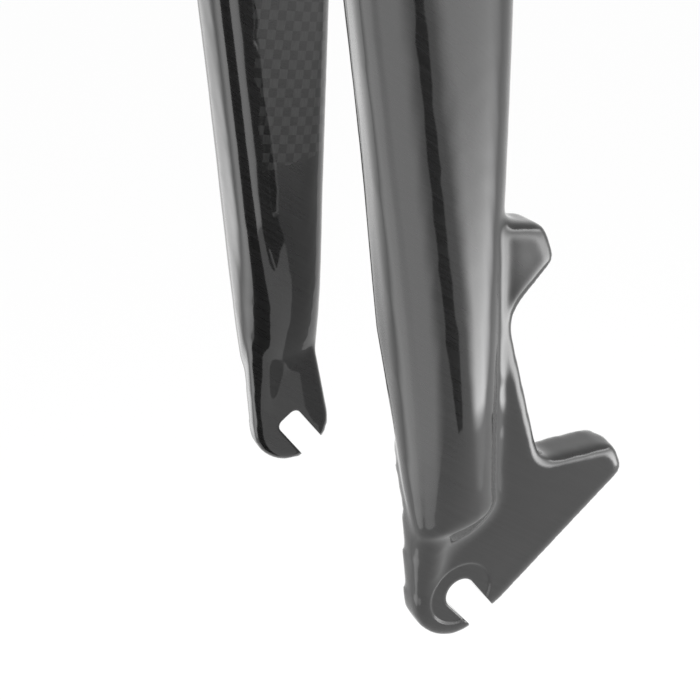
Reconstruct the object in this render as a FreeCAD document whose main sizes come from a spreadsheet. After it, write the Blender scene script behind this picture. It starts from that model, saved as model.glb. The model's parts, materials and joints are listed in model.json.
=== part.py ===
"""Rigid bicycle fork with a disc-brake mount.

One moulded carbon body carries both blades, the crown, the dropouts and the
two caliper ears.  An aluminium steerer is bonded into the crown, and two
threaded inserts are bonded into the ears.

The origin is the centre of the crown race seat.  Z runs up the steerer, X
points forward and Y to the rider's left.  Lengths are in millimetres and
angles in degrees.
"""

import FreeCAD, Part
import math
import os

import Sketcher
from FreeCAD import Vector

doc = FreeCAD.newDocument("rigid_fork")
sheet = doc.addObject("Spreadsheet::Sheet", "sizes")

# Driving sizes: heights are measured up from the axle, reaches from the mid-plane.
SIZES = [
    # Overall stance.
    ("axle_to_crown", "440"),
    ("rake", "44"),
    ("foot_forward", "1.9"),
    ("hub_spacing", "100"),
    # Blade sections from the toe up: height, fore-and-aft depth, width, reach from the
    # mid-plane, and setback behind the blade's straight centre line.
    ("toe_height", "26"),
    ("toe_depth", "25.4"),
    ("toe_width", "14"),
    ("toe_reach", "56.1"),
    ("toe_setback", "0.6"),
    ("ankle_height", "52"),
    ("ankle_depth", "28.4"),
    ("ankle_width", "21.5"),
    ("ankle_reach", "52.9"),
    ("ankle_setback", "0"),
    ("shin_height", "120"),
    ("shin_depth", "36.3"),
    ("shin_width", "22.5"),
    ("shin_reach", "49.1"),
    ("shin_setback", "0.4"),
    ("knee_height", "200"),
    ("knee_depth", "45.1"),
    ("knee_width", "23"),
    ("knee_reach", "44.7"),
    ("knee_setback", "0.2"),
    ("thigh_height", "275"),
    ("thigh_depth", "47.7"),
    ("thigh_width", "24"),
    ("thigh_reach", "43"),
    ("thigh_setback", "0"),
    ("shoulder_height", "335"),
    ("shoulder_depth", "47.7"),
    ("shoulder_width", "26"),
    ("shoulder_reach", "42.5"),
    ("shoulder_setback", "0"),
    ("blade_squareness", "2.35"),
    ("blade_sweep", "3.4"),
    # Ledge that closes the blade on to the flat dropout plate.
    ("ledge_drop", "10"),
    ("sole_depth", "20"),
    ("sole_width", "6"),
    # Nose that carries the front of the blade down into the front of the dropout.
    ("nose_root_height", "32"),
    ("nose_root_depth", "13"),
    ("nose_root_forward", "4.6"),
    ("nose_root_width", "13.6"),
    ("nose_root_reach", "55.2"),
    ("nose_tip_height", "1"),
    ("nose_tip_depth", "7.4"),
    ("nose_tip_forward", "9.4"),
    ("nose_tip_width", "7"),
    # Crown arch over the wheel and the head that carries the steerer.
    ("arch_drop", "48"),
    ("arch_depth", "44"),
    ("arch_thickness", "36"),
    ("head_root_depth", "42"),
    ("head_width", "74"),
    ("head_neck_width", "44"),
    ("head_neck_drop", "16"),
    ("head_depth", "41"),
    ("head_neck_squareness", "2.2"),
    ("crown_top_radius", "18.5"),
    # Dropouts.
    ("dropout_radius", "13.9"),
    ("dropout_thickness", "8"),
    ("dropout_root_height", "46"),
    ("dropout_root_forward", "9.4"),
    ("dropout_root_back", "14.8"),
    ("waist_height", "24"),
    ("waist_back", "13"),
    ("waist_round", "10"),
    ("axle_slot_width", "9.2"),
    ("axle_slot_angle", "27"),
    ("axle_slot_corner", "2.6"),
    ("lip_start", "0.5"),
    ("lip_catch", "0.9"),
    ("lip_round", "1.8"),
    ("nut_seat_radius", "9.5"),
    ("nut_seat_depth", "0.4"),
    ("plate_edge_round", "2"),
    # Caliper ears: the two post faces lie in one plane, set off from the axle.
    ("post_distance", "58.9"),
    ("post_angle", "14.85"),
    ("lower_post_height", "7.5"),
    ("post_spacing", "74.2"),
    ("upper_ear_rise", "5.6"),
    ("upper_ear_fall", "4.8"),
    ("lower_ear_rise", "4.5"),
    ("lower_ear_fall", "5.5"),
    ("ear_thickness", "12.5"),
    ("ear_top_round", "5.5"),
    ("ear_foot_round", "3"),
    ("upper_ear_root_back", "6"),
    ("upper_ear_root_height", "109.4"),
    ("web_top_back", "22.3"),
    ("web_top_height", "78"),
    ("web_top_round", "10"),
    ("web_foot_back", "28.9"),
    ("web_foot_height", "31.2"),
    ("web_foot_round", "8"),
    ("hub_pad_radius", "30"),
    ("hub_cone_radius", "48"),
    # Threaded inserts for the M6 caliper bolts.
    ("insert_radius", "3.6"),
    ("insert_length", "14"),
    ("insert_rim", "0.4"),
    ("tap_radius", "2.5"),
    ("bolt_tip_room", "3"),
    # Steerer and its bonded socket.
    ("steerer_radius", "14.3"),
    ("steerer_length", "260"),
    ("steerer_bore_radius", "11.2"),
    ("steerer_rim", "0.8"),
    ("race_seat_radius", "15"),
    ("race_seat_height", "8"),
    ("spigot_radius", "15.5"),
    ("spigot_length", "46"),
    ("drain_radius", "8"),
    ("glue_gap", "0.1"),
]
for row, (alias, text) in enumerate(SIZES, start=1):
    sheet.set(f"A{row}", alias)
    sheet.set(f"B{row}", text)
    sheet.setAlias(f"B{row}", alias)
doc.recompute()


def size(alias):
    """Value of one named cell."""
    return float(sheet.get(alias))


# Small tools for sketches

def plane_of(body, role):
    """Origin plane of a body, found by its role."""
    return next(item for item in body.Origin.OriginFeatures if item.Role == role)


def new_sketch(body, name, role):
    """Sketch that lies flat on one origin plane of its own body."""
    sketch = body.newObject("Sketcher::SketchObject", name)
    sketch.AttachmentSupport = [(plane_of(body, role), "")]
    sketch.MapMode = "FlatFace"
    return sketch


def bind(sketch, index, name, expression):
    """Name a constraint and drive it from the sheet."""
    sketch.renameConstraint(index, name)
    sketch.setExpression(f"Constraints.{name}", expression)


def place_point(sketch, geometry, end, name, across, up):
    """Drive one end point of a sketch edge by two expressions."""
    point = sketch.getPoint(geometry, end)
    index = sketch.addConstraint(Sketcher.Constraint("DistanceX", -1, 1, geometry, end, point.x))
    bind(sketch, index, name + "_across", across)
    index = sketch.addConstraint(Sketcher.Constraint("DistanceY", -1, 1, geometry, end, point.y))
    bind(sketch, index, name + "_up", up)


def draw_outline(sketch, corners):
    """Closed outline of straight edges; each corner is (name, across, up) in expressions."""
    points = [Vector(sheet_value(across), sheet_value(up), 0) for _, across, up in corners]
    first = sketch.GeometryCount
    count = len(corners)
    for step in range(count):
        sketch.addGeometry(Part.LineSegment(points[step], points[(step + 1) % count]), False)
    for step in range(count):
        following = first + (step + 1) % count
        sketch.addConstraint(Sketcher.Constraint("Coincident", first + step, 2, following, 1))
    for step, (name, across, up) in enumerate(corners):
        place_point(sketch, first + step, 1, name, across, up)


def draw_circle(sketch, name, radius):
    """Circle about the sketch's origin, its radius given as an expression."""
    circle = sketch.addGeometry(Part.Circle(Vector(), Vector(0, 0, 1), sheet_value(radius)), False)
    sketch.addConstraint(Sketcher.Constraint("Coincident", circle, 3, -1, 1))
    index = sketch.addConstraint(Sketcher.Constraint("Radius", circle, sheet_value(radius)))
    bind(sketch, index, name, radius)


def sheet_value(expression):
    """Starting value of an expression, read through the sheet."""
    value = sheet.evalExpression(expression)
    return float(getattr(value, "Value", value))


def edges_across(shape, spots, reach=0.2):
    """Names of the edges that run straight along Y and pass by the given spots, in X and Z."""
    names = []
    for number, edge in enumerate(shape.Edges, start=1):
        start = edge.Vertexes[0].Point
        run = edge.Vertexes[-1].Point - start
        if run.Length < reach or math.hypot(run.x, run.z) > 0.01 * run.Length:
            continue
        if any(math.hypot(start.x - x, start.z - z) < reach for x, z in spots):
            names.append(f"Edge{number}")
    return names


def outline_edges(shape, levels, reach=0.01):
    """Names of the edges of a foot that lie wholly at one of the Y levels, outside its slot."""
    names = []
    for number, edge in enumerate(shape.Edges, start=1):
        box = edge.BoundBox
        middle = edge.valueAt((edge.FirstParameter + edge.LastParameter) / 2) - AXLE
        if math.hypot(middle.x, middle.z) < size("dropout_radius") - reach:
            continue
        if any(abs(box.YMin - level) < reach and abs(box.YMax - level) < reach for level in levels):
            names.append(f"Edge{number}")
    return names


# Moulded skin: both blades and the crown arch as one smooth loft

AXLE = Vector(size("rake"), 0, -size("axle_to_crown"))
SECTION_POINTS = 24
# Squareness of a section that is a plain circle.
ROUND = 2


def leg_axis(height):
    """X of the blade's centre line: from just ahead of the axle to the steerer axis at the seat."""
    foot = size("rake") + size("foot_forward")
    return foot * (1 - height / size("axle_to_crown"))


def blade_section(centre, outward, depth, width, squareness, sweep=0):
    """Closed wire of a rounded section, deep along X and wide along the outward direction.

    The sweep is how far its outer side lies ahead of its inner side.
    """
    points = []
    for step in range(SECTION_POINTS):
        turn = 2 * math.pi * step / SECTION_POINTS
        fore = math.copysign(abs(math.cos(turn)) ** (2 / squareness), math.cos(turn))
        side = math.copysign(abs(math.sin(turn)) ** (2 / squareness), math.sin(turn))
        ahead = (fore * depth + side * sweep) / 2
        points.append(centre + Vector(ahead, 0, 0) + outward * (side * width / 2))
    curve = Part.BSplineCurve()
    curve.interpolate(Points=points, PeriodicFlag=True, Parameters=list(range(SECTION_POINTS + 1)))
    return Part.Wire([curve.toShape()])


def station(name, hand):
    """Section of one blade at a named height; hand is 1 on the left and -1 on the right."""
    height = size(name + "_height")
    along = leg_axis(height) - size(name + "_setback")
    centre = Vector(along, hand * size(name + "_reach"), height - size("axle_to_crown"))
    outward = Vector(0, hand, 0)
    return blade_section(centre, outward, size(name + "_depth"), size(name + "_width"),
                         size("blade_squareness"), size("blade_sweep"))


def arch_rise():
    """Height of the arch's middle line over its two shoulders; it hangs from the race seat."""
    return size("axle_to_crown") - size("arch_drop") - size("shoulder_height")


def arch_section(swing):
    """Section of the crown arch: swing is 0 at the left shoulder, 90 at the middle, 180 at the right."""
    turn = math.radians(swing)
    height = size("shoulder_height") + arch_rise() * math.sin(turn)
    share = math.sin(turn) ** 2
    depth = size("shoulder_depth") * (1 - share) + size("arch_depth") * share
    width = size("shoulder_width") * (1 - share) + size("arch_thickness") * share
    centre = Vector(leg_axis(height), size("shoulder_reach") * math.cos(turn), height - size("axle_to_crown"))
    outward = Vector(0, arch_rise() * math.cos(turn), size("shoulder_reach") * math.sin(turn))
    outward.normalize()
    sweep = size("blade_sweep") * (1 - share)
    return blade_section(centre, outward, depth, width, size("blade_squareness"), sweep)


def ledge(hand):
    """Short taper that closes one blade's toe on to the flat dropout plate."""
    height = size("toe_height") - size("ledge_drop")
    reach = size("hub_spacing") / 2 + size("dropout_thickness") / 2
    centre = Vector(leg_axis(height), hand * reach, height - size("axle_to_crown"))
    sole = blade_section(centre, Vector(0, hand, 0), size("sole_depth"), size("sole_width"),
                         size("blade_squareness"), size("blade_sweep") / 2)
    return Part.makeLoft([sole, station("toe", hand)], True, True)


def nose(hand):
    """Taper that runs the front of one blade down into the front edge of its dropout."""
    outward = Vector(0, hand, 0)
    middle = size("hub_spacing") / 2 + size("dropout_thickness") / 2
    root = AXLE + Vector(size("nose_root_forward"), 0, size("nose_root_height")) + outward * size("nose_root_reach")
    tip = AXLE + Vector(size("nose_tip_forward"), 0, size("nose_tip_height")) + outward * middle
    wires = [
        blade_section(tip, outward, size("nose_tip_depth"), size("nose_tip_width"), size("blade_squareness")),
        blade_section(root, outward, size("nose_root_depth"), size("nose_root_width"), size("blade_squareness")),
    ]
    return Part.makeLoft(wires, True, True)


def crown_head():
    """Neck that rises from the arch to the round seat under the steerer."""
    middle = size("axle_to_crown") - size("arch_drop")
    neck = size("axle_to_crown") - size("head_neck_drop")
    top = 2 * size("crown_top_radius")
    levels = [
        (middle, size("head_root_depth"), size("head_width"), size("blade_squareness")),
        (neck, size("head_depth"), size("head_neck_width"), size("head_neck_squareness")),
        (size("axle_to_crown"), top, top, ROUND),
    ]
    wires = []
    for height, depth, width, squareness in levels:
        centre = Vector(leg_axis(height), 0, height - size("axle_to_crown"))
        wires.append(blade_section(centre, Vector(0, 1, 0), depth, width, squareness))
    return Part.makeLoft(wires, True, False)


STATIONS = ["toe", "ankle", "shin", "knee", "thigh", "shoulder"]
sections = [station(name, 1) for name in STATIONS]
sections += [arch_section(swing) for swing in (30, 60, 90, 120, 150)]
sections += [station(name, -1) for name in reversed(STATIONS)]
whole_skin = Part.makeLoft(sections, True, False)
for hand in (1, -1):
    whole_skin = whole_skin.fuse(ledge(hand))
    whole_skin = whole_skin.fuse(nose(hand))
skin = doc.addObject("Part::Feature", "moulded_skin")
skin.Shape = whole_skin.fuse(crown_head())


# Flat plates at the feet: dropouts, and on the left the brake web with its two ears

def post_point(out, along):
    """Expressions for a point given from the axle: out to the post faces, and up along them."""
    across = f"-({out}) * cos(sizes.post_angle * 1deg) + ({along}) * sin(sizes.post_angle * 1deg)"
    up = f"({out}) * sin(sizes.post_angle * 1deg) + ({along}) * cos(sizes.post_angle * 1deg)"
    return across, up


UPPER_POST = "(sizes.lower_post_height + sizes.post_spacing)"
LOWER_POST = "sizes.lower_post_height"
EAR_TIPS = {
    "upper_ear_top": post_point("sizes.post_distance", f"{UPPER_POST} + sizes.upper_ear_rise"),
    "upper_ear_foot": post_point("sizes.post_distance", f"{UPPER_POST} - sizes.upper_ear_fall"),
    "lower_ear_top": post_point("sizes.post_distance", f"{LOWER_POST} + sizes.lower_ear_rise"),
    "lower_ear_foot": post_point("sizes.post_distance", f"{LOWER_POST} - sizes.lower_ear_fall"),
}
OUTER_FACE = "sizes.hub_spacing / 2 + sizes.dropout_thickness"
INNER_FACE = f"{OUTER_FACE} - sizes.ear_thickness"


def tangent_angle(across, up, side):
    """Angle on the dropout's round edge where a line from the given point touches it."""
    return math.atan2(up, across) + side * math.acos(size("dropout_radius") / math.hypot(across, up))


def draw_foot(sketch, corners):
    """Outline of a foot: the round edge below the axle, and straight edges through the corners.

    The first straight edge leaves the round edge at the front and the last one meets it at the
    back, both tangent to it.
    """
    points = [Vector(sheet_value(across), sheet_value(up), 0) for _, across, up in corners]
    front = tangent_angle(points[0].x, points[0].y, -1)
    back = tangent_angle(points[-1].x, points[-1].y, 1)
    radius = size("dropout_radius")
    circle = Part.Circle(Vector(), Vector(0, 0, 1), radius)
    arc = sketch.addGeometry(Part.ArcOfCircle(circle, back, front + 2 * math.pi), False)
    start = Vector(radius * math.cos(front), radius * math.sin(front), 0)
    finish = Vector(radius * math.cos(back), radius * math.sin(back), 0)
    chain = [start] + points + [finish]
    lines = [sketch.addGeometry(Part.LineSegment(chain[step], chain[step + 1]), False)
             for step in range(len(chain) - 1)]
    sketch.addConstraint(Sketcher.Constraint("Coincident", arc, 3, -1, 1))
    index = sketch.addConstraint(Sketcher.Constraint("Radius", arc, radius))
    bind(sketch, index, "round_edge", "sizes.dropout_radius")
    for before, after in zip(lines, lines[1:]):
        sketch.addConstraint(Sketcher.Constraint("Coincident", before, 2, after, 1))
    sketch.addConstraint(Sketcher.Constraint("Tangent", arc, 2, lines[0], 1))
    sketch.addConstraint(Sketcher.Constraint("Tangent", arc, 1, lines[-1], 2))
    for line, (name, across, up) in zip(lines[1:], corners):
        place_point(sketch, line, 1, name, across, up)


def new_foot(name, hand, corners, thickness):
    """Flat plate of one foot, in a body whose own origin is the axle on the mid-plane."""
    body = doc.addObject("PartDesign::Body", name)
    body.setExpression("Placement.Base.x", "sizes.rake")
    body.setExpression("Placement.Base.z", "-sizes.axle_to_crown")
    outline = new_sketch(body, name + "_outline", "XZ_Plane")
    outline.setExpression("AttachmentOffset.Base.z", f"-({hand}) * ({OUTER_FACE})")
    draw_foot(outline, corners)
    plate = body.newObject("PartDesign::Pad", name + "_plate")
    plate.Profile = outline
    plate.setExpression("Length", thickness)
    plate.Reversed = hand < 0
    doc.recompute()
    return body


def round_edges(body, name, edges, radius):
    """Fillet on the named edges of the body's last feature."""
    shaped = body.Tip
    fillet = body.newObject("PartDesign::Fillet", name)
    fillet.Base = (shaped, edges)
    fillet.setExpression("Radius", radius)
    doc.recompute()


def corner_spot(corner):
    """X and Z of one corner from the axle."""
    across, up = corner
    return sheet_value(across), sheet_value(up)


def cut_axle_slot(body, name, hand, corners):
    """Open slot for the hub axle, drawn upright and then swung back to its angle."""
    sketch = new_sketch(body, name + "_outline", "XZ_Plane")
    sketch.setExpression("AttachmentOffset.Rotation.Angle", "-sizes.axle_slot_angle")
    draw_outline(sketch, corners)
    slot = body.newObject("PartDesign::Pocket", name)
    slot.Profile = sketch
    slot.Type = "ThroughAll"
    slot.Reversed = hand < 0
    doc.recompute()


def sink_round(body, name, hand, radius, depth):
    """Round pocket about the axle, sunk from the outer face."""
    sketch = new_sketch(body, name + "_outline", "XZ_Plane")
    sketch.setExpression("AttachmentOffset.Base.z", f"-({hand}) * ({OUTER_FACE})")
    draw_circle(sketch, "radius", radius)
    pocket = body.newObject("PartDesign::Pocket", name)
    pocket.Profile = sketch
    pocket.setExpression("Length", depth)
    pocket.Reversed = hand > 0
    doc.recompute()


ROOT_FRONT = ("root_front", "sizes.dropout_root_forward", "sizes.dropout_root_height")
ROOT_BACK = ("root_back", "-sizes.dropout_root_back", "sizes.dropout_root_height")
WAIST = ("waist", "-sizes.waist_back", "sizes.waist_height")
UPPER_EAR_ROOT = ("upper_ear_root", "-sizes.upper_ear_root_back", "sizes.upper_ear_root_height")
WEB_TOP = ("web_top", "-sizes.web_top_back", "sizes.web_top_height")
WEB_FOOT = ("web_foot", "-sizes.web_foot_back", "sizes.web_foot_height")
HALF_SLOT = "sizes.axle_slot_width / 2"
LIP = f"({HALF_SLOT} - sizes.lip_catch)"
SLOT_REACH = "2 * sizes.dropout_radius"


def swung_spot(across, up):
    """X and Z from the axle of a point drawn in the upright slot."""
    turn = math.radians(size("axle_slot_angle"))
    x, z = sheet_value(across), sheet_value(up)
    return x * math.cos(turn) + z * math.sin(turn), z * math.cos(turn) - x * math.sin(turn)


# The left foot: thick enough for the caliper bolts, with its web and ears behind the blade.
left_foot = new_foot("left_foot", 1, [
    ROOT_FRONT,
    UPPER_EAR_ROOT,
    ("upper_ear_top", *EAR_TIPS["upper_ear_top"]),
    ("upper_ear_foot", *EAR_TIPS["upper_ear_foot"]),
    WEB_TOP,
    WEB_FOOT,
    ("lower_ear_top", *EAR_TIPS["lower_ear_top"]),
    ("lower_ear_foot", *EAR_TIPS["lower_ear_foot"]),
], "sizes.ear_thickness")
ear_tops = [corner_spot(EAR_TIPS["upper_ear_top"]), corner_spot(EAR_TIPS["lower_ear_top"])]
round_edges(left_foot, "ear_tops", edges_across(left_foot.Tip.Shape, ear_tops), "sizes.ear_top_round")
ear_feet = [corner_spot(EAR_TIPS["upper_ear_foot"]), corner_spot(EAR_TIPS["lower_ear_foot"])]
round_edges(left_foot, "ear_feet", edges_across(left_foot.Tip.Shape, ear_feet), "sizes.ear_foot_round")
web_top = [corner_spot(WEB_TOP[1:])]
round_edges(left_foot, "web_top_curve", edges_across(left_foot.Tip.Shape, web_top), "sizes.web_top_round")
web_foot = [corner_spot(WEB_FOOT[1:])]
round_edges(left_foot, "web_foot_curve", edges_across(left_foot.Tip.Shape, web_foot), "sizes.web_foot_round")

# Its slot ends in a full round, and the front wall closes in to a rounded lip that keeps the axle in.
sink_round(left_foot, "left_slot_end", 1, HALF_SLOT, "2 * sizes.ear_thickness")
cut_axle_slot(left_foot, "left_axle_slot", 1, [
    ("back_mouth", f"-({HALF_SLOT})", f"-({SLOT_REACH})"),
    ("front_mouth", LIP, f"-({SLOT_REACH})"),
    ("lip_out", LIP, "-sizes.dropout_radius"),
    ("lip_in", HALF_SLOT, "-sizes.lip_start"),
    ("front_end", HALF_SLOT, "0"),
    ("back_end", f"-({HALF_SLOT})", "0"),
])
lip_tip = swung_spot(LIP, f"-sqrt(sizes.dropout_radius ^ 2 - {LIP} ^ 2)")
round_edges(left_foot, "lip_tip", edges_across(left_foot.Tip.Shape, [lip_tip]), "sizes.lip_round")
outer_level = sheet_value(OUTER_FACE)
inner_level = sheet_value(INNER_FACE)
round_edges(left_foot, "left_foot_edges", outline_edges(left_foot.Tip.Shape, [outer_level, inner_level]),
            "sizes.plate_edge_round")
sink_round(left_foot, "left_nut_seat", 1, "sizes.nut_seat_radius", "sizes.nut_seat_depth")

# Its inner side is turned back to the hub's face, with a shallow cone that clears the hub.
hub_profile = new_sketch(left_foot, "hub_face_profile", "XY_Plane")
draw_outline(hub_profile, [
    ("middle_out", "0", "sizes.hub_spacing / 2"),
    ("middle_in", "0", "0"),
    ("cone_in", "sizes.hub_cone_radius", "0"),
    ("cone_out", "sizes.hub_cone_radius", INNER_FACE),
    ("pad_rim", "sizes.hub_pad_radius", "sizes.hub_spacing / 2"),
])
hub_face = left_foot.newObject("PartDesign::Groove", "hub_face")
hub_face.Profile = hub_profile
hub_face.ReferenceAxis = (hub_profile, ["V_Axis"])
hub_face.Angle = 360
doc.recompute()

# The right foot: a plain dropout whose slot has a flat end with rounded corners.
right_foot = new_foot("right_foot", -1, [ROOT_FRONT, ROOT_BACK, WAIST], "sizes.dropout_thickness")
waist = [corner_spot(WAIST[1:])]
round_edges(right_foot, "waist_curve", edges_across(right_foot.Tip.Shape, waist), "sizes.waist_round")
round_edges(right_foot, "right_foot_edges",
            outline_edges(right_foot.Tip.Shape, [-outer_level, -size("hub_spacing") / 2]),
            "sizes.plate_edge_round")
cut_axle_slot(right_foot, "right_axle_slot", -1, [
    ("back_mouth", f"-({HALF_SLOT})", f"-({SLOT_REACH})"),
    ("front_mouth", HALF_SLOT, f"-({SLOT_REACH})"),
    ("front_end", HALF_SLOT, HALF_SLOT),
    ("back_end", f"-({HALF_SLOT})", HALF_SLOT),
])
slot_corners = [swung_spot(HALF_SLOT, HALF_SLOT), swung_spot(f"-({HALF_SLOT})", HALF_SLOT)]
round_edges(right_foot, "right_slot_corners", edges_across(right_foot.Tip.Shape, slot_corners),
            "sizes.axle_slot_corner")
sink_round(right_foot, "right_nut_seat", -1, "sizes.nut_seat_radius", "sizes.nut_seat_depth")


# Fork body: blades, crown and feet are one moulding, bored for the steerer and the inserts

left_joined = doc.addObject("Part::Fuse", "left_joined")
left_joined.Base = skin
left_joined.Tool = left_foot
moulding = doc.addObject("Part::Fuse", "moulding")
moulding.Base = left_joined
moulding.Tool = right_foot
doc.recompute()
fork_body = doc.addObject("PartDesign::Body", "fork_body")
fork_body.BaseFeature = moulding
doc.recompute()


def bore_crown(name, radius, length):
    """Round bore down into the crown on the steerer axis; no length means right through."""
    sketch = new_sketch(fork_body, name + "_circle", "XY_Plane")
    draw_circle(sketch, "radius", radius)
    bore = fork_body.newObject("PartDesign::Pocket", name)
    bore.Profile = sketch
    if length:
        bore.setExpression("Length", length)
    else:
        bore.Type = "ThroughAll"
    doc.recompute()


bore_crown("steerer_socket", "sizes.spigot_radius + sizes.glue_gap", "sizes.spigot_length + sizes.glue_gap")
bore_crown("crown_drain", "sizes.drain_radius", None)

EAR_MIDDLE = f"{OUTER_FACE} - sizes.ear_thickness / 2"
POSTS = {"upper": UPPER_POST, "lower": LOWER_POST}
for ear, along in POSTS.items():
    across, up = post_point("sizes.post_distance", along)
    circle = new_sketch(fork_body, ear + "_insert_circle", "YZ_Plane")
    circle.AttachmentOffset = FreeCAD.Placement(Vector(), FreeCAD.Rotation(Vector(1, 0, 0), size("post_angle")))
    circle.setExpression("AttachmentOffset.Rotation.Angle", "sizes.post_angle")
    circle.setExpression("AttachmentOffset.Base.x", EAR_MIDDLE)
    circle.setExpression("AttachmentOffset.Base.y", f"({up}) - sizes.axle_to_crown")
    circle.setExpression("AttachmentOffset.Base.z", f"({across}) + sizes.rake")
    draw_circle(circle, "radius", "sizes.insert_radius + sizes.glue_gap")
    bore = fork_body.newObject("PartDesign::Pocket", ear + "_insert_bore")
    bore.Profile = circle
    bore.Reversed = True
    bore.setExpression("Length", "sizes.insert_length + sizes.bolt_tip_room")
    doc.recompute()


# Steerer: one turned aluminium tube whose thicker foot is bonded into the crown

steerer = doc.addObject("PartDesign::Body", "steerer_tube")
profile = new_sketch(steerer, "steerer_profile", "XZ_Plane")
SEAT_STEP = "(sizes.race_seat_radius - sizes.steerer_radius)"
draw_outline(profile, [
    ("foot_inside", "sizes.steerer_bore_radius", "-sizes.spigot_length"),
    ("foot_outside", "sizes.spigot_radius", "-sizes.spigot_length"),
    ("spigot_top", "sizes.spigot_radius", "0"),
    ("seat_foot", "sizes.race_seat_radius", "0"),
    ("seat_top", "sizes.race_seat_radius", "sizes.race_seat_height"),
    ("tube_foot", "sizes.steerer_radius", f"sizes.race_seat_height + {SEAT_STEP}"),
    ("tube_top", "sizes.steerer_radius", "sizes.steerer_length"),
    ("top_inside", "sizes.steerer_bore_radius", "sizes.steerer_length"),
])
turned = steerer.newObject("PartDesign::Revolution", "turned_tube")
turned.Profile = profile
turned.ReferenceAxis = (profile, ["V_Axis"])
turned.Angle = 360
doc.recompute()


def rims_of(shape, radius, levels, reach=0.01):
    """Names of the round edges of one radius that lie at the given heights."""
    names = []
    for number, edge in enumerate(shape.Edges, start=1):
        if not isinstance(edge.Curve, Part.Circle) or abs(edge.Curve.Radius - radius) > reach:
            continue
        if any(abs(edge.Curve.Center.z - level) < reach for level in levels):
            names.append(f"Edge{number}")
    return names


def break_rims(body, name, edges, width):
    """Small chamfer on the named edges of the body's last feature."""
    shaped = body.Tip
    chamfer = body.newObject("PartDesign::Chamfer", name)
    chamfer.Base = (shaped, edges)
    chamfer.setExpression("Size", width)
    doc.recompute()


steerer_rims = (rims_of(turned.Shape, size("steerer_radius"), [size("steerer_length")])
                + rims_of(turned.Shape, size("spigot_radius"), [-size("spigot_length")]))
break_rims(steerer, "steerer_rims", steerer_rims, "sizes.steerer_rim")


# Inserts: plain metal sleeves, tapped for the caliper bolts, flush with the post faces

inserts = []
for ear, along in POSTS.items():
    across, up = post_point("sizes.post_distance", along)
    insert = doc.addObject("PartDesign::Body", ear + "_caliper_insert")
    insert.Placement = FreeCAD.Placement(Vector(), FreeCAD.Rotation(Vector(0, 1, 0), size("post_angle") - 90))
    insert.setExpression("Placement.Rotation.Angle", "sizes.post_angle - 90")
    insert.setExpression("Placement.Base.x", f"({across}) + sizes.rake")
    insert.setExpression("Placement.Base.y", EAR_MIDDLE)
    insert.setExpression("Placement.Base.z", f"({up}) - sizes.axle_to_crown")
    sleeve_circle = new_sketch(insert, ear + "_sleeve_circle", "XY_Plane")
    draw_circle(sleeve_circle, "radius", "sizes.insert_radius")
    sleeve = insert.newObject("PartDesign::Pad", ear + "_sleeve")
    sleeve.Profile = sleeve_circle
    sleeve.Reversed = True
    sleeve.setExpression("Length", "sizes.insert_length")
    doc.recompute()
    tap_circle = new_sketch(insert, ear + "_tap_circle", "XY_Plane")
    draw_circle(tap_circle, "radius", "sizes.tap_radius")
    tap = insert.newObject("PartDesign::Pocket", ear + "_tapped_hole")
    tap.Profile = tap_circle
    tap.Type = "ThroughAll"
    doc.recompute()
    break_rims(insert, ear + "_sleeve_rims",
               rims_of(insert.Tip.Shape, size("insert_radius"), [0, -size("insert_length")]),
               "sizes.insert_rim")
    inserts.append(insert)


# Check every object, then write one STEP file for each piece

for item in doc.Objects:
    if "Invalid" in item.State or "Error" in item.State:
        raise RuntimeError(f"{item.Name} did not build")
pieces = [fork_body, steerer] + inserts
for piece in pieces:
    piece.Label = piece.Name
    shape = piece.Shape
    if shape.isNull() or not shape.isValid() or len(shape.Solids) != 1:
        raise RuntimeError(f"{piece.Label} is not one sound solid")
os.makedirs("parts", exist_ok=True)
for piece in pieces:
    piece.Shape.exportStep(f"parts/{piece.Label}.step")
    print(f"{piece.Label}: {piece.Shape.Volume / 1000:.1f} cm3, {len(piece.Shape.Faces)} faces")
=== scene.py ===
import json
import math

import bmesh
import bpy
import numpy as np
from mathutils import Matrix, Vector


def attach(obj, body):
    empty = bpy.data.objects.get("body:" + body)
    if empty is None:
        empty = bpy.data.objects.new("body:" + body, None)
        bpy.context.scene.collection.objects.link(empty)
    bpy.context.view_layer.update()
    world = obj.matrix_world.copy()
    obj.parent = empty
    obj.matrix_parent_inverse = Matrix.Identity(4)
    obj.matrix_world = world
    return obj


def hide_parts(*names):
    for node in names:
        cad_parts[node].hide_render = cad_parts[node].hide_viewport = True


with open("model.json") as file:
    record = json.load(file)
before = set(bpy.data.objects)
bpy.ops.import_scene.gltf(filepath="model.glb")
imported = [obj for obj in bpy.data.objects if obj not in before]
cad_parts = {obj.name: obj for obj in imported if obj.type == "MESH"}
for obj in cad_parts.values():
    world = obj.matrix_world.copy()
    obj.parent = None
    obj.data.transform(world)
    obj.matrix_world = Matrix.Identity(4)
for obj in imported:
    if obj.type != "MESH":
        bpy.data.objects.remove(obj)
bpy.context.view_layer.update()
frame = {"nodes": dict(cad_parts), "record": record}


# Fork body: both blades, the crown, the dropouts and the brake bracket are one hollow
# carbon moulding, pressed in a closed tool, so every inside corner runs out in a soft
# radius. The plain solid is skinned afresh, its hollows filled, to mould those corners.

mounts = {mount["name"]: mount for mount in frame["record"]["mounts"]}
axle_x, _, axle_z = mounts["left_axle_slot"]["pos_m"]
AXLE = Vector((axle_x, 0.0, axle_z))
POST_AXIS = Vector(mounts["upper_caliper_post"]["axis"])
POSTS = [Vector(mounts[name]["pos_m"]) for name in ("upper_caliper_post", "lower_caliper_post")]
RACE_SEAT = Vector((0, 0, 0))


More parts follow.
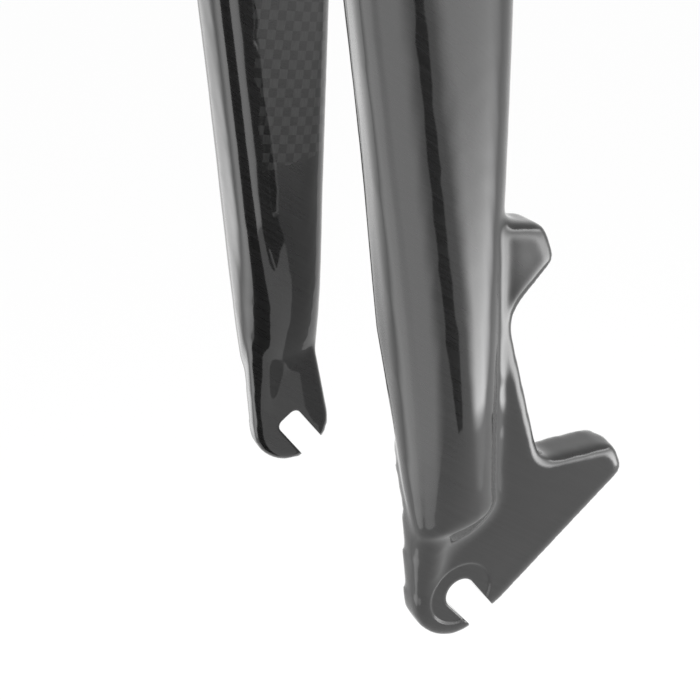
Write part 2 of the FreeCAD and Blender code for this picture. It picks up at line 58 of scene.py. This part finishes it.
def cylinder_between(start, end, radius):
    """Closed round plug from start to end."""
    run = end - start
    turn = Vector((0, 0, 1)).rotation_difference(run.normalized()).to_matrix().to_4x4()
    made = bmesh.new()
    bmesh.ops.create_cone(made, cap_ends=True, segments=96, radius1=radius, radius2=radius,
                          depth=run.length, matrix=Matrix.Translation((start + end) / 2) @ turn)
    mesh = bpy.data.meshes.new("round_plug")
    made.to_mesh(mesh)
    made.free()
    return bpy.data.objects.new("round_plug", mesh)


def along_axle(start, end, radius):
    """Round plug along the axle, between two distances to the left of the mid-plane."""
    return cylinder_between(AXLE + Vector((0, start, 0)), AXLE + Vector((0, end, 0)), radius)


def along_steerer(bottom, top, radius):
    """Round plug along the steerer, between two heights."""
    return cylinder_between(RACE_SEAT + Vector((0, 0, bottom)), RACE_SEAT + Vector((0, 0, top)), radius)


def join_all(name, objects):
    """One object from several, each already in its place."""
    whole = bmesh.new()
    for item in objects:
        whole.from_mesh(item.data)
        bpy.data.objects.remove(item)
    mesh = bpy.data.meshes.new(name)
    whole.to_mesh(mesh)
    whole.free()
    joined = bpy.data.objects.new(name, mesh)
    bpy.context.collection.objects.link(joined)
    return joined


# The solid's holes are filled first, and are cut again once the skin is smooth. A dropout's
# filling has its two faces, and one in the crown its bottom, its top and its radius.
DROPOUT_FILLING = (0.0502, 0.058)
DROPOUT_FILLING_RADIUS = 0.0128
SOCKET_FILLING = (-0.0475, 0, 0.0166)
DRAIN_FILLING = (-0.0625, -0.045, 0.0095)
POST_FILLING_DEPTH = 0.018
POST_FILLING_RADIUS = 0.0042
source = frame["nodes"]["fork_body"]
fillers = [bpy.data.objects.new("plain_copy", source.data.copy())]
for side in (1, -1):
    near_face, far_face = (side * face for face in DROPOUT_FILLING)
    fillers.append(along_axle(near_face, far_face, DROPOUT_FILLING_RADIUS))
fillers.append(along_steerer(*SOCKET_FILLING))
fillers.append(along_steerer(*DRAIN_FILLING))
for post in POSTS:
    fillers.append(cylinder_between(post - POST_AXIS * POST_FILLING_DEPTH, post, POST_FILLING_RADIUS))
moulding = join_all("carbon_moulding", fillers)


def applied(piece):
    """Mesh of a piece with its modifiers applied and taken off."""
    bpy.context.view_layer.update()
    evaluated = piece.evaluated_get(bpy.context.evaluated_depsgraph_get())
    mesh = bpy.data.meshes.new_from_object(evaluated)
    piece.modifiers.clear()
    piece.data = mesh
    return mesh


SKIN_GRAIN = 0.00125
remesh = moulding.modifiers.new("skin", "REMESH")
remesh.mode = "VOXEL"
remesh.voxel_size = SKIN_GRAIN
remesh.use_smooth_shade = True
skinned = applied(moulding)

count = len(skinned.vertices)
points = np.empty(count * 3)
skinned.vertices.foreach_get("co", points)
points = points.reshape(count, 3)
normals = np.empty(count * 3)
skinned.vertices.foreach_get("normal", normals)
normals = normals.reshape(count, 3)
links = np.empty(len(skinned.edges) * 2, dtype=np.int64)
skinned.edges.foreach_get("vertices", links)
links = links.reshape(-1, 2)
valence = np.maximum(np.bincount(links.ravel(), minlength=count), 1)


def neighbour_mean(values):
    """Mean of a value, or of each of its columns, over every vertex's neighbours."""
    if values.ndim == 1:
        total = np.bincount(links[:, 0], values[links[:, 1]], count)
        total += np.bincount(links[:, 1], values[links[:, 0]], count)
        return total / valence
    return np.stack([neighbour_mean(values[:, axis]) for axis in range(values.shape[1])], axis=1)


def drawn(places, share):
    """Places moved by a share of the way to the mean of their neighbours."""
    return places + share * (neighbour_mean(places) - places)


def smoothed(places, rounds, inwards, outwards):
    """Places drawn to their neighbours and pushed back by turns, which keeps the bulk."""
    for _ in range(rounds):
        places = drawn(places, inwards)
        places = drawn(places, -outwards)
    return places


# Only the hollow corners, and what lies close to them, are rounded out. A vertex counts as
# hollow from the first distance to its neighbours' mean, and fully so the second one further.
HOLLOW_FROM = 0.00006
HOLLOW_SPAN = 0.00008
points = smoothed(points, rounds=7, inwards=0.55, outwards=0.56)
hollow = np.einsum("ij,ij->i", neighbour_mean(points) - points, normals)
inside_corner = np.clip((hollow - HOLLOW_FROM) / HOLLOW_SPAN, 0, 1)
for _ in range(4):
    inside_corner = np.maximum(inside_corner, np.clip(1.3 * neighbour_mean(inside_corner), 0, 1))
for _ in range(3):
    inside_corner = neighbour_mean(inside_corner)
for _ in range(60):
    points = drawn(points, 0.5 * inside_corner[:, None])
points = smoothed(points, rounds=6, inwards=0.5, outwards=0.52)
skinned.vertices.foreach_set("co", points.ravel())
skinned.update()


def extruded(name, outline, low, high):
    """Closed prism along Y from an outline given as X and Z from the axle, in millimetres."""
    made = bmesh.new()
    rings = []
    for level in (low, high):
        ring = [made.verts.new((AXLE.x + x / 1000, level, AXLE.z + z / 1000)) for x, z in outline]
        rings.append(ring)
    made.faces.new(rings[0])
    made.faces.new(list(reversed(rings[1])))
    for step in range(len(outline)):
        following = (step + 1) % len(outline)
        made.faces.new([rings[0][following], rings[0][step], rings[1][step], rings[1][following]])
    bmesh.ops.recalc_face_normals(made, faces=made.faces)
    mesh = bpy.data.meshes.new(name)
    made.to_mesh(mesh)
    made.free()
    return bpy.data.objects.new(name, mesh)


SLOT_LEAN = math.radians(27)


def swung(outline):
    """Outline of an upright slot, turned back with the slot."""
    c, s = math.cos(SLOT_LEAN), math.sin(SLOT_LEAN)
    return [(x * c + z * s, z * c - x * s) for x, z in outline]


def arc(cx, cz, radius, start, end, steps=16):
    """Points of an arc, its angles in degrees."""
    turns = [math.radians(start + (end - start) * step / steps) for step in range(steps + 1)]
    return [(cx + radius * math.cos(turn), cz + radius * math.sin(turn)) for turn in turns]


# The left slot ends in a full round and its front wall runs into a rounded hook; the right
# one has a flat end with rounded corners. Nut seats, socket and bores are cut after moulding.
HALF_SLOT = 4.6
SLOT_FLAT = 2.0
SLOT_CORNER = 2.6
SLOT_MOUTH = -26
LIP_CENTRE = (5.72, -10.67)
LIP_RADIUS = 1.8
LIP_SIDE = 10.0
left_slot = arc(0, 0, HALF_SLOT, 180, 0, 32) + [(HALF_SLOT, -0.5)]
left_slot += arc(*LIP_CENTRE, LIP_RADIUS, 176.2, 298.2)
left_slot += [(LIP_SIDE, -18.6), (LIP_SIDE, SLOT_MOUTH), (-HALF_SLOT, SLOT_MOUTH)]
right_slot = arc(-SLOT_FLAT, SLOT_FLAT, SLOT_CORNER, 180, 90)
right_slot += arc(SLOT_FLAT, SLOT_FLAT, SLOT_CORNER, 90, 0)
right_slot += [(HALF_SLOT, SLOT_MOUTH), (-HALF_SLOT, SLOT_MOUTH)]
PAST_DROPOUT = 0.061
SOCKET = (-0.0461, 0.004, 0.0156)
POST_DEPTH = 0.017
POST_MOUTH = 0.004
POST_RADIUS = 0.0037
cuts = [
    extruded("left_slot_cut", swung(left_slot), 0.046, PAST_DROPOUT),
    extruded("right_slot_cut", swung(right_slot), -PAST_DROPOUT, -0.048),
    along_steerer(*SOCKET),
]
for post in POSTS:
    cuts.append(cylinder_between(post - POST_AXIS * POST_DEPTH, post + POST_AXIS * POST_MOUTH, POST_RADIUS))
NUT_SEAT = 0.0576
NUT_SEAT_RADIUS = 0.0095
DRAIN = (-0.09, -0.04, 0.008)
second_cuts = [
    along_axle(NUT_SEAT, PAST_DROPOUT, NUT_SEAT_RADIUS),
    along_axle(-NUT_SEAT, -PAST_DROPOUT, NUT_SEAT_RADIUS),
    along_steerer(*DRAIN),
]
# The smoothed skin may fold on itself in a tight corner, and the cut allows for that.
cutters = [join_all("first_cutter", cuts), join_all("second_cutter", second_cuts)]
for cutter in cutters:
    boolean = moulding.modifiers.new("cut", "BOOLEAN")
    boolean.operation = "DIFFERENCE"
    boolean.solver = "EXACT"
    boolean.use_self = True
    boolean.object = cutter
finished = applied(moulding)
for cutter in cutters:
    bpy.data.objects.remove(cutter)

# The side of each blade that faces the wheel is flatter than the outer one and turns into the
# front edge in a tighter corner; the growth below compares two superellipse sections. Both
# blades are worked in millimetres, by their height above the axle.
STATIONS = (26, 52, 120, 200, 275, 335)
HALF_DEPTHS = (12.7, 14.2, 18.15, 22.55, 23.85, 23.85)
HALF_WIDTHS = (7.0, 10.75, 11.25, 11.5, 12.0, 13.0)
REACHES = (56.1, 52.9, 49.1, 44.7, 43.0, 42.5)
BLADE_FOOT_AHEAD = 45.9
AXLE_TO_CROWN = 440
OUTER_SQUARENESS = 2.35
INNER_SQUARENESS = 3.7
FADE_HEIGHTS = (50, 80, 290, 330)
LEAN = 0.17
SMALLEST = 1e-6


def superellipse(long_way, wide_way, squareness):
    """Size of a point in a superellipse, from its two distances."""
    return (long_way ** squareness + wide_way ** squareness) ** (1 / squareness)


corners = np.empty(len(finished.vertices) * 3)
finished.vertices.foreach_get("co", corners)
corners = corners.reshape(-1, 3)
above = (corners[:, 2] - AXLE.z) * 1000
half_depth = np.interp(above, STATIONS, HALF_DEPTHS)
half_width = np.interp(above, STATIONS, HALF_WIDTHS)
reach = np.interp(above, STATIONS, REACHES)
ahead = corners[:, 0] * 1000 - BLADE_FOOT_AHEAD * (1 - above / AXLE_TO_CROWN)
aside = reach - np.abs(corners[:, 1]) * 1000
long_way = np.maximum(ahead, 0) / half_depth
wide_way = np.maximum(aside, 0) / half_width
span = np.maximum(long_way + wide_way, SMALLEST)
long_way, wide_way = long_way / span, wide_way / span
round_size = superellipse(long_way, wide_way, OUTER_SQUARENESS)
square_size = superellipse(long_way, wide_way, INNER_SQUARENESS)
front_inside = (ahead > 0) & (aside > 0)
share = np.where(front_inside, np.interp(above, FADE_HEIGHTS, (0, 1, 1, 0)), 0)
growth = share * (round_size / np.maximum(square_size, SMALLEST) - 1)
# That side also leans: the blade is a little thicker towards its front than towards its back.
taper = np.interp(above, FADE_HEIGHTS, (0, LEAN, LEAN, 0)) * np.clip(ahead / half_depth, -1, 1)
growth_aside = growth + np.where(aside > 0, taper, 0) * (aside < 1.3 * half_width)
corners[:, 0] += ahead * growth / 1000
corners[:, 1] -= np.sign(corners[:, 1]) * aside * growth_aside / 1000
finished.vertices.foreach_set("co", corners.ravel())
finished.update()
finished.shade_smooth()
finished.set_sharp_from_angle(angle=math.radians(38))


# Lacquered carbon, the finish of the fork body: fine straight fibre over most of it and a
# woven cloth inside the blades, both lying dark under a thick glossy clear coat.

class Nodes:
    """Short ways to add nodes to one tree."""

    def __init__(self, tree):
        self.tree = tree

    def feed(self, socket, value):
        """Set a socket, or link it to another node's output."""
        if isinstance(value, bpy.types.NodeSocket):
            self.tree.links.new(value, socket)
        else:
            socket.default_value = value

    def add(self, kind, inputs=None, **settings):
        """Node of one kind, with its settings and its inputs set or linked."""
        node = self.tree.nodes.new(kind)
        for key, value in settings.items():
            setattr(node, key, value)
        for key, value in (inputs or {}).items():
            self.feed(node.inputs[key], value)
        return node

    def math(self, operation, first, second=0.0, third=0.0):
        """Result of one math node."""
        return self.add("ShaderNodeMath", {0: first, 1: second, 2: third}, operation=operation).outputs[0]

    def vector(self, operation, first, second):
        """Node of vector maths."""
        return self.add("ShaderNodeVectorMath", {0: first, 1: second}, operation=operation)

    def split(self, vector):
        """Outputs X, Y and Z of a vector."""
        return self.add("ShaderNodeSeparateXYZ", {0: vector}).outputs

    def joined(self, x, y, z):
        """Vector of three values."""
        return self.add("ShaderNodeCombineXYZ", {0: x, 1: y, 2: z}).outputs[0]

    def noise(self, place, scale, detail, **more):
        """Noise from 0 to 1 at a place."""
        inputs = {"Vector": place, "Scale": scale, "Detail": detail}
        return self.add("ShaderNodeTexNoise", inputs | more).outputs[0]

    def mapped(self, value, low, high, start=0.0, end=1.0, **settings):
        """Value that runs from low to high while another runs from start to end."""
        inputs = {"Value": value, "From Min": start, "From Max": end, "To Min": low, "To Max": high}
        return self.add("ShaderNodeMapRange", inputs, **settings).outputs[0]

    def blend(self, share, first, second):
        """The first value, or the second where the share is 1."""
        return self.add("ShaderNodeMix", {0: share, 2: first, 3: second}, data_type="FLOAT").outputs[0]


class Finish(Nodes):
    """Material of one piece, with a shader whose sockets are fed by name."""

    def __init__(self, name):
        self.material = bpy.data.materials.new(name)
        self.material.use_nodes = True
        super().__init__(self.material.node_tree)
        self.shader = self.tree.nodes["Principled BSDF"]

    def feed_shader(self, **values):
        """Set or link shader sockets, named with underscores for spaces."""
        for key, value in values.items():
            self.feed(self.shader.inputs[key.replace("_", " ")], value)

    def grey(self, tone):
        """Colour of one tone."""
        return self.add("ShaderNodeCombineColor", {0: tone, 1: tone, 2: tone}).outputs[0]

    def bump(self, height, strength, distance, **more):
        """Normal raised by a height."""
        inputs = {"Strength": strength, "Distance": distance, "Height": height}
        return self.add("ShaderNodeBump", inputs | more).outputs[0]


carbon = Finish("lacquered_carbon")
place = carbon.add("ShaderNodeTexCoord").outputs["Object"]
spot = carbon.split(place)

# The outer layers are fine straight fibres laid on the bias, side by side in flat tows.
bias_u = carbon.math("ADD", spot["X"], spot["Z"])
bias_v = carbon.math("SUBTRACT", spot["X"], spot["Z"])
bias = carbon.joined(carbon.math("MULTIPLY", bias_u, 30.0), carbon.math("MULTIPLY", bias_v, 900.0),
                     carbon.math("MULTIPLY", spot["Y"], 120.0))
straight_fibre = carbon.noise(bias, 1.0, 4.0, Roughness=0.6)

# A plain-woven cloth lines the upper part of the sides that face the wheel. Its tows cross
# at a slight slant to the blade, and its lower hem and its front edge are ragged.
TOW = 0.0029
TOW_SLANT = 0.30
HEM_HEIGHT = -0.352
HEM_RAGGED = 0.016
EDGE_AHEAD = 0.004
EDGE_RAGGED = 0.008
BLADE_SLOPE = -0.1043
slanted_x = carbon.math("ADD", spot["X"], carbon.math("MULTIPLY", spot["Z"], TOW_SLANT))
slanted_z = carbon.math("SUBTRACT", spot["Z"], carbon.math("MULTIPLY", spot["X"], TOW_SLANT))
cell_u = carbon.math("DIVIDE", slanted_x, TOW)
cell_v = carbon.math("DIVIDE", slanted_z, TOW)
cells = carbon.joined(cell_u, cell_v, 0.5)
parity = carbon.add("ShaderNodeTexChecker", {"Vector": cells, "Scale": 1.0, "Color1": (1, 1, 1, 1),
                                             "Color2": (0, 0, 0, 1)}).outputs["Fac"]
lying = carbon.vector("MULTIPLY", cells, (1.5, 22.0, 1.0)).outputs[0]
standing = carbon.vector("MULTIPLY", cells, (22.0, 1.5, 1.0)).outputs[0]
woven_fibre = carbon.blend(parity, carbon.noise(lying, 1.0, 2.0), carbon.noise(standing, 1.0, 2.0))
wave_u = carbon.math("SINE", carbon.math("MULTIPLY", cell_u, math.pi))
wave_v = carbon.math("SINE", carbon.math("MULTIPLY", cell_v, math.pi))
pillow = carbon.math("ABSOLUTE", carbon.math("MULTIPLY", wave_u, wave_v))
ragged = carbon.noise(place, 90.0, 3.0)
hem = carbon.math("MULTIPLY_ADD", ragged, HEM_RAGGED, HEM_HEIGHT)
above_hem = carbon.math("GREATER_THAN", spot["Z"], hem)
facing = carbon.split(carbon.add("ShaderNodeNewGeometry").outputs["True Normal"])["Y"]
side = carbon.math("SIGN", spot["Y"])
inward = carbon.math("LESS_THAN", carbon.math("MULTIPLY", facing, side), -0.45)
blade_ahead = carbon.math("SUBTRACT", spot["X"], carbon.math("MULTIPLY", spot["Z"], BLADE_SLOPE))
front_edge = carbon.math("MULTIPLY_ADD", ragged, EDGE_RAGGED, EDGE_AHEAD)
behind_front = carbon.math("LESS_THAN", blade_ahead, front_edge)
cloth = carbon.math("MULTIPLY", carbon.math("MULTIPLY", above_hem, inward), behind_front)

# The cloth's two tow directions differ in tone, and each fibre and patch varies a little.
STRAIGHT_TONE = 0.004
CLOTH_TONES = (0.005, 0.014)
fibre = carbon.blend(cloth, straight_fibre, woven_fibre)
height = carbon.math("MULTIPLY_ADD", fibre, 0.3, carbon.math("MULTIPLY", pillow, cloth))
tone = carbon.blend(cloth, STRAIGHT_TONE, carbon.mapped(parity, *CLOTH_TONES))
tone = carbon.math("MULTIPLY", tone, carbon.mapped(fibre, 0.6, 1.4, 0.3, 0.7))
tone = carbon.math("MULTIPLY", tone, carbon.mapped(carbon.noise(place, 14.0, 3.0), 0.8, 1.2))
moulded = carbon.add("ShaderNodeBevel", {"Radius": 0.0012}, samples=8).outputs[0]
rub = carbon.noise(place, 55.0, 5.0)
carbon.feed_shader(Base_Color=carbon.grey(tone),
                   Normal=carbon.bump(height, 0.12, 0.00012, Normal=moulded),
                   Coat_Normal=carbon.bump(height, 0.05, 0.00004, Normal=moulded),
                   Coat_Roughness=carbon.mapped(rub, 0.03, 0.08, 0.45, 0.8),
                   Roughness=carbon.mapped(fibre, 0.32, 0.5),
                   Specular_IOR_Level=0.12, Coat_Weight=1.0, Coat_IOR=1.5)
finished.materials.clear()
finished.materials.append(carbon.material)
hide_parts("fork_body")
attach(moulding, "root")


# Steerer: a drawn aluminium tube, turned to size, its thicker foot bonded into the crown.
# Fine rings from the lathe run round it.

alloy = Finish("turned_aluminium")
place = alloy.add("ShaderNodeTexCoord").outputs["Object"]
lathe_rings = alloy.noise(alloy.vector("MULTIPLY", place, (6.0, 6.0, 2600.0)).outputs[0], 1.0, 3.0)
handled = alloy.noise(place, 40.0, 4.0)
alloy.feed_shader(Roughness=alloy.mapped(lathe_rings, 0.24, 0.42),
                  Base_Color=alloy.grey(alloy.mapped(handled, 0.42, 0.52)),
                  Normal=alloy.bump(lathe_rings, 0.15, 0.00003),
                  Metallic=1.0, Anisotropic=0.5)
steerer = frame["nodes"]["steerer_tube"]
steerer.data.materials.clear()
steerer.data.materials.append(alloy.material)


# Caliper inserts: short machined sleeves bonded into the two ears from behind, each tapped
# M6 for a caliper bolt. The solid has a plain hole; here the thread is cut in it.

sleeve_steel = Finish("machined_sleeve")
place = sleeve_steel.add("ShaderNodeTexCoord").outputs["Object"]
grain = sleeve_steel.noise(place, 900.0, 4.0)
sleeve_steel.feed_shader(Roughness=sleeve_steel.mapped(grain, 0.25, 0.45),
                         Base_Color=sleeve_steel.grey(sleeve_steel.mapped(grain, 0.42, 0.55)),
                         Normal=sleeve_steel.bump(grain, 0.1, 0.00003),
                         Metallic=1.0)

# Sizes of a sleeve in millimetres, its mouth at 0; the M6 thread has a pitch of 1.
SLEEVE_LENGTH = 14
SLEEVE_RADIUS = 3.6
SLEEVE_CHAMFER = 0.4
THREAD_ROOT = 2.5
THREAD_DEPTH = 0.5
AROUND = 48
THREAD_STEPS = 8
MOUTH_RADIUS = 3.2
for node_name, post in zip(("upper_caliper_insert", "lower_caliper_insert"), POSTS):
    turn = Vector((0, 0, 1)).rotation_difference(POST_AXIS).to_matrix().to_4x4()
    place_here = Matrix.Translation(post) @ turn
    made = bmesh.new()
    rows = []
    for radius, depth in ((MOUTH_RADIUS, 0.0), (SLEEVE_RADIUS, -SLEEVE_CHAMFER),
                          (SLEEVE_RADIUS, SLEEVE_CHAMFER - SLEEVE_LENGTH), (MOUTH_RADIUS, -SLEEVE_LENGTH)):
        rows.append([(radius, depth)] * AROUND)
    for level in range(SLEEVE_LENGTH * THREAD_STEPS + 1):
        depth = level / THREAD_STEPS - SLEEVE_LENGTH
        row = []
        for step in range(AROUND):
            phase = (level / THREAD_STEPS + step / AROUND) % 1.0
            row.append((THREAD_ROOT + THREAD_DEPTH * (1 - abs(2 * phase - 1)), depth))
        rows.append(row)
    rings = []
    for row in rows:
        ring = []
        for step, (radius, depth) in enumerate(row):
            angle = 2 * math.pi * step / AROUND
            corner = Vector((radius * math.cos(angle), radius * math.sin(angle), depth)) / 1000
            ring.append(made.verts.new(place_here @ corner))
        rings.append(ring)
    rings.append(rings[0])
    for below, upper in zip(rings, rings[1:]):
        for step in range(AROUND):
            following = (step + 1) % AROUND
            made.faces.new([below[step], below[following], upper[following], upper[step]])
    bmesh.ops.recalc_face_normals(made, faces=made.faces)
    mesh = bpy.data.meshes.new(node_name + "_threaded")
    made.to_mesh(mesh)
    made.free()
    mesh.shade_smooth()
    mesh.set_sharp_from_angle(angle=math.radians(30))
    mesh.materials.append(sleeve_steel.material)
    sleeve = bpy.data.objects.new(node_name + "_threaded", mesh)
    bpy.context.collection.objects.link(sleeve)
    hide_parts(node_name)
    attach(sleeve, "root")


# Studio: a pale floor well below the fork, a white surround, and soft lamps. The camera
# stands at the front left, above the dropouts, where the photograph was taken.

FLOOR_HEIGHT = -0.95
HALF_FLOOR = 6
corner_signs = ((-1, -1), (1, -1), (1, 1), (-1, 1))
floor_corners = [(x * HALF_FLOOR, y * HALF_FLOOR, FLOOR_HEIGHT) for x, y in corner_signs]
floor_mesh = bpy.data.meshes.new("floor")
floor_mesh.from_pydata(floor_corners, [], [(0, 1, 2, 3)])
floor = bpy.data.objects.new("floor", floor_mesh)
bpy.context.collection.objects.link(floor)
pale = Finish("pale_floor")
pale.feed_shader(Base_Color=(0.93, 0.93, 0.93, 1), Roughness=0.9)
path = pale.add("ShaderNodeLightPath").outputs
seen = pale.math("MAXIMUM", path["Is Camera Ray"], path["Is Glossy Ray"])
seen = pale.math("MAXIMUM", seen, path["Is Transmission Ray"])
white = pale.add("ShaderNodeEmission", {"Color": (1, 1, 1, 1), "Strength": 1.0}).outputs[0]
mixed = pale.add("ShaderNodeMixShader", {0: pale.math("MULTIPLY", seen, 0.75), 1: pale.shader.outputs[0],
                                         2: white}).outputs[0]
pale.feed(pale.tree.nodes["Material Output"].inputs["Surface"], mixed)
floor_mesh.materials.append(pale.material)

world = bpy.data.worlds.new("white_surround")
bpy.context.scene.world = world
world.use_nodes = True
background = world.node_tree.nodes["Background"]
background.inputs["Color"].default_value = (1, 1, 1, 1)
background.inputs["Strength"].default_value = 1.0


def softbox(name, place, target, size, level, edge, cuts=(), levels=None):
    """Soft lamp that faces a point: its level at the middle, falling off over its edges.

    The size is its width and height, and the edge gives the share of each that fades.
    Each cut is one more soft edge: a point on it, the way in, and its width.
    The levels are shares of the level at heights, from the lowest up.
    """
    width, height = size
    data = bpy.data.lights.new(name, "AREA")
    data.shape = "RECTANGLE"
    data.size = width
    data.size_y = height
    data.energy = level * math.pi * width * height
    data.use_nodes = True
    lamp = Nodes(data.node_tree)
    geometry = lamp.add("ShaderNodeNewGeometry").outputs
    across = lamp.split(geometry["Parametric"])
    fade = 1.0
    for axis, margin in zip("XY", edge):
        folded = lamp.math("PINGPONG", across[axis], 0.5)
        ramp = lamp.mapped(folded, 0.0, 1.0, 0.0, margin, interpolation_type="SMOOTHSTEP")
        fade = lamp.math("MULTIPLY", ramp, fade)
    for edge_point, way_in, soft_width in cuts:
        offset = lamp.vector("SUBTRACT", geometry["Position"], edge_point).outputs[0]
        along = lamp.vector("DOT_PRODUCT", offset, way_in).outputs["Value"]
        ramp = lamp.mapped(along, 0.0, 1.0, 0.0, soft_width, interpolation_type="SMOOTHSTEP")
        fade = lamp.math("MULTIPLY", ramp, fade)
    if levels:
        low, high = levels[0][0], levels[-1][0]
        rise = lamp.mapped(lamp.split(geometry["Position"])["Z"], 0.0, 1.0, low, high)
        scale = lamp.add("ShaderNodeValToRGB", {0: rise})
        stops = scale.color_ramp.elements
        for number, (height_here, value) in enumerate(levels):
            stop = stops[0] if number == 0 else stops.new((height_here - low) / (high - low))
            stop.color = (value, value, value, 1)
        fade = lamp.math("MULTIPLY", scale.outputs[0], fade)
    lamp.feed(lamp.tree.nodes["Emission"].inputs["Strength"], fade)
    item = bpy.data.objects.new(name, data)
    item.location = place
    item.rotation_euler = (Vector(target) - Vector(place)).to_track_quat("-Z", "Y").to_euler()
    bpy.context.collection.objects.link(item)


FEET = (0.03, 0.03, -0.34)


def around(azimuth, elevation, distance):
    """Place at a distance from the fork's feet, by its angles in degrees."""
    turn, rise = math.radians(azimuth), math.radians(elevation)
    level = distance * math.cos(rise)
    return (FEET[0] + level * math.cos(turn), FEET[1] + level * math.sin(turn),
            FEET[2] + distance * math.sin(rise))


LAMP_RISE = -14
softbox("front_box", around(2, LAMP_RISE, 0.9), FEET, (1.35, 1.2), 2.3, (0.4, 0.3))
softbox("front_left_box", around(58, LAMP_RISE, 0.9), FEET, (1.35, 1.2), 1.9, (0.35, 0.3))

# The lamp behind the left leg stands upright. It is brightest near its foot and falls off upwards.
REAR_AZIMUTH = math.radians(145)
REAR_DISTANCE = 0.63
REAR_TARGET = (0.03, 0.06, -0.55)
rear_spot = (REAR_TARGET[0] + REAR_DISTANCE * math.cos(REAR_AZIMUTH),
             REAR_TARGET[1] + REAR_DISTANCE * math.sin(REAR_AZIMUTH), REAR_TARGET[2])
rear_across = Vector((-math.sin(REAR_AZIMUTH), math.cos(REAR_AZIMUTH), 0))
slanted_edge = (Vector((rear_spot[0], rear_spot[1], -0.45)) - rear_across * 0.435,
                (rear_across.x, rear_across.y, 0.663), 0.16)
upright_edge = (Vector(rear_spot) + rear_across * 0.31, -rear_across, 0.30)
REAR_LEVELS = ((-0.93, 0.08), (-0.83, 0.08), (-0.79, 1.0), (-0.72, 0.92), (-0.60, 0.70),
               (-0.52, 0.44), (-0.45, 0.30), (-0.38, 0.26), (-0.2, 0.22))
softbox("left_rear_box", rear_spot, REAR_TARGET, (1.0, 0.76), 7.4, (0.02, 0.02),
        cuts=(slanted_edge, upright_edge), levels=REAR_LEVELS)
softbox("right_box", around(-60, LAMP_RISE, 0.8), FEET, (0.6, 0.9), 1.8, (0.4, 0.3))

# Two upright cards stand between the legs, so that neither leg mirrors the lamps beyond the
# other. Each has its two ends and the levels of its right and left sides. The one ahead of
# the wheel's place is black to the right and lit to the left, and the one behind is pale.
CARDS = {
    "black_divider": ((0.057, -0.02), (0.150, -0.02), 0.0, 2.0),
    "white_divider": ((0.012, 0.02), (-0.50, -0.042), 1.05, 1.05),
}
CARD_FOOT = -0.62
CARD_TOP = -0.12
DIM_BELOW = (-0.40, -0.32)
DIM_SHARE = 0.42
MATT_BLACK = (0.004, 0.004, 0.004, 1)
for name, (near, far, right_level, left_level) in CARDS.items():
    card_mesh = bpy.data.meshes.new(name)
    card_corners = [(*near, CARD_FOOT), (*far, CARD_FOOT), (*far, CARD_TOP), (*near, CARD_TOP)]
    card_mesh.from_pydata(card_corners, [], [(0, 1, 2, 3)])
    card = bpy.data.objects.new(name, card_mesh)
    bpy.context.collection.objects.link(card)
    paper = Finish(name + "_paper")
    geometry = paper.add("ShaderNodeNewGeometry").outputs
    card_height = paper.split(geometry["Position"])["Z"]
    left_glow = paper.mapped(card_height, DIM_SHARE * left_level, left_level, *DIM_BELOW)
    glow = paper.mapped(geometry["Backfacing"], right_level, left_glow)
    paper.feed_shader(Base_Color=MATT_BLACK, Specular_IOR_Level=0.0, Emission_Color=(1, 1, 1, 1),
                      Emission_Strength=glow)
    card_mesh.materials.append(paper.material)
    card.visible_camera = False
    card.visible_shadow = False
    card.visible_diffuse = False

# A narrow black flag stands to the left of the fork and cuts a dark line into the lacquer.
# Its outline is given by azimuth and elevation, down one side and up the other.
flag_edge = [(91, 6), (96, -14), (103, -25), (112, -35), (117, -35), (114, -25), (107, -14), (101, 6)]
flag_mesh = bpy.data.meshes.new("black_flag")
flag_spots = [around(azimuth, elevation, 0.62) for azimuth, elevation in flag_edge]
flag_mesh.from_pydata(flag_spots, [], [(0, 1, 6, 7), (1, 2, 5, 6), (2, 3, 4, 5)])
flag = bpy.data.objects.new("black_flag", flag_mesh)
bpy.context.collection.objects.link(flag)
felt = Finish("black_felt")
felt.feed_shader(Base_Color=MATT_BLACK, Roughness=1.0, Specular_IOR_Level=0.0)
flag_mesh.materials.append(felt.material)
flag.visible_camera = False

# The camera's place, and its right, down and back ways, are those of the photograph.
SENSOR_WIDTH = 36
IMAGE_WIDTH = 700
FOCAL_PIXELS = 1227.62
EYE = (0.167321, 0.288080, -0.215763)
RIGHT = (-0.878126, 0.461461, -0.126286)
DOWN = (0.324275, 0.379998, -0.866284)
BACK = (0.351767, 0.801658, 0.483326)
camera_data = bpy.data.cameras.new("camera")
camera_data.sensor_width = SENSOR_WIDTH
camera_data.lens = FOCAL_PIXELS / IMAGE_WIDTH * SENSOR_WIDTH
camera_data.clip_start = 0.01
camera = bpy.data.objects.new("camera", camera_data)
camera_rows = [(RIGHT[axis], -DOWN[axis], BACK[axis], EYE[axis]) for axis in range(3)]
camera.matrix_world = Matrix(camera_rows + [(0, 0, 0, 1)])
bpy.context.collection.objects.link(camera)
bpy.context.scene.camera = camera
bpy.context.scene.view_settings.view_transform = "Standard"
